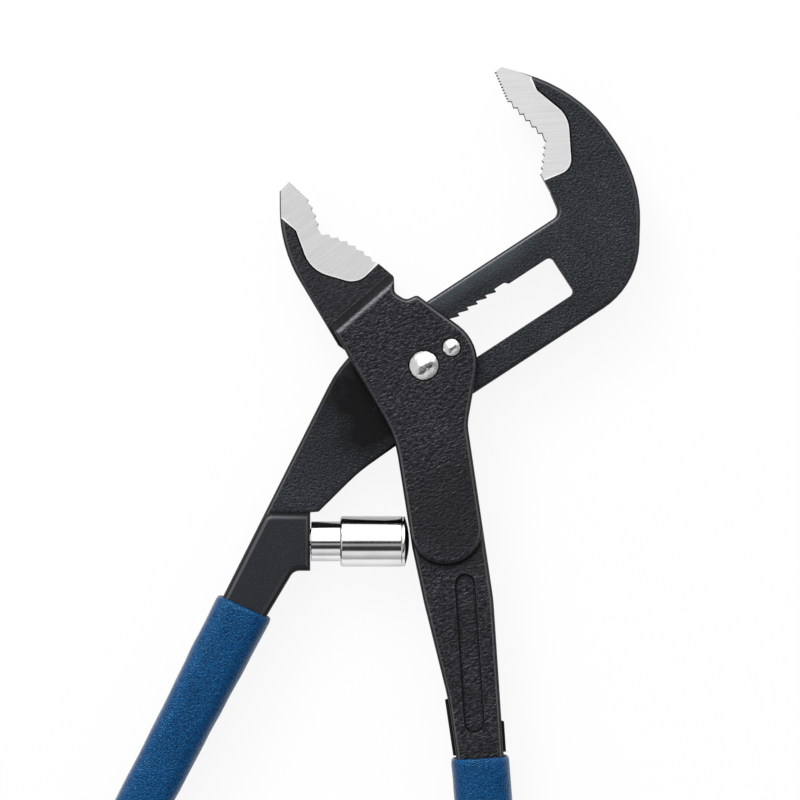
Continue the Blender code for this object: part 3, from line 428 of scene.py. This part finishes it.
# Plunger guide: a turned and plated steel pin pressed into the boss by its stem. Its collar keeps the
# sleeve on, and its blind bore takes the spring.
PLUNGER_LEVEL = -0.0414
GUIDE_SHOULDER = -0.0265
STEM_RADIUS = 0.0030
GUIDE_RADIUS = 0.0047
COLLAR_RADIUS = 0.00525
COLLAR_BEHIND_LIP = 0.0011
SPRING_BORE_RADIUS = 0.0038
BORE_FLOOR = 0.0009


def plate(name, roughness, dents):
    """Bright plating with the faint rings that turning leaves under it, and with dents of a depth."""
    made, chrome, shader = new_finish(name)
    spot = chrome.node("TexCoord", out="Object")
    ringed = chrome.node("Mapping", sockets={"Vector": spot, "Scale": (4200.0, 60.0, 60.0)})
    rings = chrome.node("TexNoise", sockets={"Vector": ringed, "Scale": 1.0, "Detail": 2.0})
    haze = chrome.node("TexNoise", sockets={"Vector": spot, "Scale": 260.0, "Detail": 3.0})
    struck = chrome.node("TexNoise", sockets={"Vector": spot, "Scale": 620.0, "Detail": 2.0})
    drive(shader, Base_Color=haze.between(0.3, 0.7).blend((0.84, 0.84, 0.85), (0.93, 0.93, 0.93)),
          Roughness=roughness + rings * 0.05 + haze * 0.04,
          Normal=chrome.node("Bump", sockets={"Strength": 1.0, "Distance": dents, "Height": struck}))
    shader["Metallic"].default_value = 1.0
    return made


plunger_plate = plate("plunger_plate", 0.06, 0.000004)


def turned_piece(name, profile, node, finish, body, about=None, corner=0.00012):
    """A piece turned about X at the plunger's level, or about Z at a place, from points (along, radius)."""
    bm = bmesh.new()
    verts = [bm.verts.new((radius, 0.0, along)) for along, radius in profile]
    edges = [bm.edges.new(pair) for pair in zip(verts, verts[1:])]
    bmesh.ops.spin(bm, geom=verts + edges, axis=(0, 0, 1), cent=(0, 0, 0), angle=2 * math.pi, steps=96,
                   use_merge=True)
    bmesh.ops.remove_doubles(bm, verts=bm.verts, dist=1e-7)
    bmesh.ops.recalc_face_normals(bm, faces=bm.faces)
    sharp = [e for e in bm.edges if len(e.link_faces) == 2 and e.calc_face_angle() > math.radians(28)]
    bmesh.ops.bevel(bm, geom=sharp, offset=corner, affect='EDGES', segments=3, profile=0.5, material=-1)
    if about is None:
        bm.transform(Matrix.Translation((0, PLUNGER_LEVEL, MID_PLANE))
                     @ Matrix.Rotation(math.pi / 2, 4, 'Y'))
    else:
        bm.transform(Matrix.Translation((*about, MID_PLANE)))
    piece = placed(name, bm, finish)
    piece.data.set_sharp_from_angle(angle=math.radians(40))
    piece.modifiers.new("Even", 'WEIGHTED_NORMAL').keep_sharp = True
    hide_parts(node)
    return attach(piece, body)


guide_low, guide_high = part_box("plunger_guide")
sleeve_low, sleeve_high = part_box("plunger_sleeve")
collar_left = sleeve_low.x + COLLAR_BEHIND_LIP
bore_end = GUIDE_SHOULDER + BORE_FLOOR
turned_piece("guide_pin", [
    (guide_low.x, 0.0), (guide_low.x, STEM_RADIUS),
    (GUIDE_SHOULDER, STEM_RADIUS), (GUIDE_SHOULDER, GUIDE_RADIUS),
    (collar_left, GUIDE_RADIUS), (collar_left, COLLAR_RADIUS),
    (guide_high.x, COLLAR_RADIUS), (guide_high.x, SPRING_BORE_RADIUS),
    (bore_end, SPRING_BORE_RADIUS), (bore_end, 0.0)],
    "plunger_guide", plunger_plate, "slotted_arm")

# Plunger spring: a close wound compression spring of hard drawn wire, which sits on the floor of the
# guide's bore and pushes the cap outwards. It shortens as the plunger goes in.
SPRING_TURNS = 7
STEPS_PER_TURN = 32
WIRE_RADIUS = 0.0005
spring_low, spring_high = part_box("plunger_spring")
drawn_wire, drawn, shader = new_finish("drawn_wire")
spot = drawn.node("TexCoord", out="Object")
marks = drawn.node("TexNoise", sockets={"Vector": spot, "Scale": 2400.0, "Detail": 2.0})
drive(shader, Base_Color=marks.blend((0.30, 0.30, 0.31), (0.46, 0.46, 0.47)), Roughness=0.28 + marks * 0.2)
shader["Metallic"].default_value = 1.0
bm = bmesh.new()
section = bmesh.ops.create_circle(bm, segments=12, radius=WIRE_RADIUS)["verts"]
coil_radius = (spring_high.z - spring_low.z) / 2 - WIRE_RADIUS
bmesh.ops.rotate(bm, verts=section, cent=(0, 0, 0), matrix=Matrix.Rotation(math.pi / 2, 3, 'X'))
bmesh.ops.translate(bm, verts=section, vec=(coil_radius, 0, 0))
steps = SPRING_TURNS * STEPS_PER_TURN
climb = (spring_high.x - spring_low.x - 2 * WIRE_RADIUS) / steps
first_end = list(bm.edges)
wound = bmesh.ops.spin(bm, geom=section + first_end, axis=(0, 0, 1), cent=(0, 0, 0), dvec=(0, 0, climb),
                       angle=2 * math.pi * SPRING_TURNS, steps=steps)["geom_last"]
last_end = [g for g in wound if isinstance(g, bmesh.types.BMEdge)]
for wire_end in (first_end, last_end):
    bmesh.ops.contextual_create(bm, geom=wire_end)
bmesh.ops.recalc_face_normals(bm, faces=bm.faces)
bm.transform(Matrix.Translation((spring_low.x + WIRE_RADIUS, PLUNGER_LEVEL, MID_PLANE))
             @ Matrix.Rotation(math.pi / 2, 4, 'Y'))
wound_spring = placed("wound_spring", bm, drawn_wire)
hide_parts("plunger_spring")
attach(wound_spring, "slotted_arm")
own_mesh(wound_spring)

# Plunger sleeve: a drawn and plated tube that telescopes over the guide. Its left end is turned in to
# a lip behind the collar, and its right end is rolled over the cap.
SLEEVE_RADIUS = 0.00595
SLEEVE_BORE_RADIUS = 0.0055
LIP_BORE_RADIUS = 0.00495
LIP_LENGTH = 0.0008
LIP_CHAMFER = 0.0004
GROOVE_RADIUS = 0.00582
GROOVE_TO_END = 0.0007
GROOVE_HALF_WIDTH = 0.0002
ROLLED_RADIUS = 0.0059
ROLLED_CHAMFER = 0.0001
groove_at = sleeve_high.x - GROOVE_TO_END
turned_piece("telescoping_sleeve", [
    (sleeve_low.x, LIP_BORE_RADIUS), (sleeve_low.x, SLEEVE_RADIUS - LIP_CHAMFER),
    (sleeve_low.x + LIP_CHAMFER, SLEEVE_RADIUS), (groove_at - GROOVE_HALF_WIDTH, SLEEVE_RADIUS),
    (groove_at, GROOVE_RADIUS), (groove_at + GROOVE_HALF_WIDTH, ROLLED_RADIUS),
    (sleeve_high.x - ROLLED_CHAMFER, ROLLED_RADIUS), (sleeve_high.x, ROLLED_RADIUS - ROLLED_CHAMFER),
    (sleeve_high.x, SLEEVE_BORE_RADIUS), (sleeve_low.x + LIP_LENGTH, SLEEVE_BORE_RADIUS),
    (sleeve_low.x + LIP_LENGTH, LIP_BORE_RADIUS), (sleeve_low.x, LIP_BORE_RADIUS)],
    "plunger_sleeve", plunger_plate, "plunger", corner=0.00006)

# Plunger cap: a black nylon plug pressed in the sleeve's end, with a domed nose that bears on the edge
# of the other handle.
CAP_RADIUS = 0.00545
moulded_nylon, nylon, shader = new_finish("moulded_nylon")
spot = nylon.node("TexCoord", out="Object")
cloud = nylon.node("TexNoise", sockets={"Vector": spot, "Scale": 900.0, "Detail": 3.0})
drive(shader, Base_Color=cloud.blend((0.006, 0.006, 0.007), (0.016, 0.016, 0.018)),
      Roughness=0.26 + cloud * 0.2,
      Normal=nylon.node("Bump", sockets={"Strength": 0.4, "Distance": 0.00005, "Height": cloud}))


def dome(base, radius, rise, steps):
    """Points (along, radius) of a part of a ball that rises over a base, from its rim to its top."""
    ball = (radius ** 2 + rise ** 2) / (2 * rise)
    rings = [radius * (1 - k / steps) for k in range(steps + 1)]
    return [(base + rise - ball + math.sqrt(ball ** 2 - ring ** 2), ring) for ring in rings]


cap_low, cap_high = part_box("plunger_cap")
nose = dome(sleeve_high.x, CAP_RADIUS, cap_high.x - sleeve_high.x, 16)
turned_piece("domed_cap", [(cap_low.x, 0.0), (cap_low.x, CAP_RADIUS)] + nose,
             "plunger_cap", moulded_nylon, "plunger")

# Slide block: a small block of plain steel in the slot, which carries the pivot rivet. Its teeth face
# the rack in the slot's upper edge. It is milled all over and has no ground flats.
NO_GROUND_LEVEL = 1.0
milled_steel, milled, shader = new_finish("milled_steel")
spot = milled.node("TexCoord", out="Object")
drawn_out = milled.node("Mapping", sockets={"Vector": spot, "Scale": (200.0, 2600.0, 200.0)})
cut = milled.node("TexNoise", sockets={"Vector": drawn_out, "Scale": 1.0})
drive(shader, Base_Color=cut.blend((0.28, 0.28, 0.29), (0.46, 0.46, 0.47)), Roughness=0.30 + cut * 0.2)
shader["Metallic"].default_value = 1.0
milled_block = forging("milled_block", "slide_block", NO_GROUND_LEVEL, [milled_steel])
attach(milled_block, "slide_block")

# Pivot arm: the second forging, with the front jaw, two cheeks that box in the shank, and the right
# handle with its long sunk panel. Its wrinkles are coarser on the cheeks, and the jaw is ground bright.
JAW_GROUND_LEVEL = 0.0042
RAMP_TOP = Vector((-0.0070, 0.0196, 0.0))
RAMP_OUT = Vector((-0.6553, 0.7554, 0.0))
RAMP_SLOPE = math.radians(52.5)
RAMP_ROUNDING = 0.0011
RAMP_CUTS = 8
RAMP_FOOT_ROUNDING = 0.00045
RAMP_FOOT_LEAST_EDGE = 0.005


def soften_ramp(bm):
    """Round the top and the foot of the ramp from the cheeks down to the jaw, on both faces."""
    radius = RAMP_ROUNDING / math.tan(RAMP_SLOPE / 2)
    for k in range(RAMP_CUTS + 1):
        run = radius * math.sin(RAMP_SLOPE * k / RAMP_CUTS) - RAMP_ROUNDING
        bmesh.ops.bisect_plane(bm, geom=bm.verts[:] + bm.edges[:] + bm.faces[:], dist=1e-7,
                               plane_co=RAMP_TOP + RAMP_OUT * run, plane_no=RAMP_OUT)
    for vert in bm.verts:
        run = (vert.co - RAMP_TOP).dot(RAMP_OUT) + RAMP_ROUNDING
        if 0 < run < radius * math.sin(RAMP_SLOPE) + 1e-6:
            level = MID_PLANE - radius + math.sqrt(radius ** 2 - run ** 2)
            if off_mid(vert.co) > level:
                vert.co.z = MID_PLANE + math.copysign(level, vert.co.z - MID_PLANE)
    bm.normal_update()
    skin_level = JAW_GROUND_LEVEL + GROUND_DEPTH
    foot = [edge for edge in bm.edges if edge.calc_length() > RAMP_FOOT_LEAST_EDGE
            and all(abs(off_mid(vert.co) - skin_level) < LEVEL_FIT for vert in edge.verts)
            and any(abs(abs(face.normal.z) - math.cos(RAMP_SLOPE)) < 0.01 for face in edge.link_faces)]
    bmesh.ops.bevel(bm, geom=foot, offset=RAMP_FOOT_ROUNDING, affect='EDGES', segments=2, profile=0.5,
                    material=-1)


cheek_coat = coated_skin(
    "cheek_coat", wrinkles=(0.00098, 0.00060, 0.00035), turn=0.35, crease_shade=0.65,
    crest_highlight=(0.018, 0.0185, 0.023), tint=(0.90, 0.91, 1.0), skin_level=JAW_GROUND_LEVEL + GROUND_DEPTH,
    flat_relief=0.35, rim_highlight=0.3,
    darkened_patch={"at": (0.010, -0.034), "full": 0.010, "ends": 0.022, "fills": 0.6, "dulls": 0.0})
jaw_grinding = ground_steel("jaw_grinding", turn=0.65, dull=0.525, bright=0.645)
cheek_forging = forging("cheek_forging", "pivot_arm", JAW_GROUND_LEVEL,
                        [cheek_coat, jaw_grinding, shaded_step_wall], soften_ramp)
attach(cheek_forging, "pivot_arm")

# Rivets: the large one is the pivot and the small one stops the swing. Both have plated domed heads in
# shallow seats on the front cheek, and tails that are upset flush into the back cheek.
TAIL_FLARE = 0.0007
TAIL_LENGTH = 0.0012
HEAD_SEAT = 0.0003
rivet_plate = plate("rivet_plate", 0.15, 0.00018)


def domed_rivet(name, node, head, shank, rise):
    """A rivet with a head and a shank of these radii, whose dome rises over the front cheek."""
    low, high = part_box(node)
    place = ((low.x + high.x) / 2, (low.y + high.y) / 2)
    seat = MID_PLANE - HEAD_SEAT
    tail = [(-MID_PLANE, 0.0), (-MID_PLANE, shank + TAIL_FLARE), (-MID_PLANE + TAIL_LENGTH, shank)]
    turned_piece(name, tail + [(seat, shank), (seat, head)] + dome(MID_PLANE, head, rise, 20),
                 node, rivet_plate, "pivot_arm", about=place, corner=0.0001)


domed_rivet("pivot_rivet_dome", "pivot_rivet", head=0.00345, shank=0.0025, rise=0.0015)
domed_rivet("stop_rivet_dome", "stop_rivet", head=0.0021, shank=0.0012, rise=0.0010)

# Stage: a white table under a soft white studio, with a large panel above the jaws, a dark gap by the
# camera, and one key lamp from the upper left that lays a faint shadow to the lower right.
TABLE_LEVEL = -0.0002
VIEW_CENTRE = (-0.0056, -0.0081)
VIEW_LEVEL = 0.0115
VIEW_WIDTH = 0.188
white_table, table, _ = new_finish("white_table")
path = table.node("LightPath").socket.node.outputs
seen = Wire(table.tree, path["Is Camera Ray"])
mirrored = Wire(table.tree, path["Is Glossy Ray"]) + Wire(table.tree, path["Is Transmission Ray"])
cloth = table.node("BsdfDiffuse", sockets={"Color": (0.95, 0.95, 0.95, 1.0)})
glow = table.node("Emission", sockets={"Color": (1.0, 1.0, 1.0, 1.0), "Strength": 1.0})
share = (seen * 0.90 + mirrored * 0.4).between(0.0, 1.0)
mixed = table.node("MixShader", sockets={0: share, 1: cloth, 2: glow})
table.tree.links.new(mixed.socket, table.tree.nodes["Material Output"].inputs["Surface"])
bm = bmesh.new()
bmesh.ops.create_grid(bm, x_segments=1, y_segments=1, size=2.0)
bmesh.ops.translate(bm, verts=bm.verts, vec=(0, 0, TABLE_LEVEL))
table_top = placed("table", bm, white_table)

studio = bpy.data.worlds.new("studio")
studio.use_nodes = True
bpy.context.scene.world = studio
air = Wire(studio.node_tree)
around = air.node("TexCoord", out="Generated")
side, ahead, up = around.axes()
wobble = air.node("TexNoise", sockets={"Vector": around, "Scale": 2.5}) - 0.5
tilt = air.sum("ARCTAN2", ahead, up) - side * 0.75 + wobble * side.size() * 1.2
degrees = [(-180, 0.25), (-100, 0.35), (-75, 0.55), (-58, 0.95), (-46, 0.95), (-41, 0.03), (-22, 0.05),
           (-18, 0.45), (-11, 0.45), (-8, 0.03), (1, 0.03), (6, 1.5), (25, 1.9), (80, 1.9), (95, 0.5),
           (180, 0.25)]
panels = air.node("ValToRGB", {"stops": [(d / 360 + 0.5, tone) for d, tone in degrees]},
                  {0: tilt * (0.5 / math.pi) + 0.5})
flank = air.node("ValToRGB", {"stops": [(0.0, 0.8), (0.35, 0.8), (0.6, 0.5), (1.0, 0.4)]},
                 {0: side * 0.5 + 0.5})
edge_on = side.between(0.75, 0.97).most((0.0 - side).between(0.35, 0.65))
walls = edge_on.blend(panels, flank)
backdrop = studio.node_tree.nodes["Background"].inputs
studio.node_tree.links.new(walls.socket, backdrop["Color"])
backdrop["Strength"].default_value = 0.85

lamp = bpy.data.lights.new("key", 'AREA')
lamp.energy = 6.0
lamp.size = 0.4
key = bpy.data.objects.new("key", lamp)
bpy.context.scene.collection.objects.link(key)
key.location = (-0.40, 0.75, 0.60)
key.rotation_euler = (-key.location).to_track_quat('-Z', 'Y').to_euler()

lens = bpy.data.cameras.new("camera")
lens.lens = 300.0
lens.clip_start = 0.05
camera = bpy.data.objects.new("camera", lens)
bpy.context.scene.collection.objects.link(camera)
camera.location = (*VIEW_CENTRE, VIEW_LEVEL + VIEW_WIDTH * lens.lens / lens.sensor_width)
bpy.context.scene.camera = camera
bpy.context.scene.view_settings.view_transform = 'Standard'
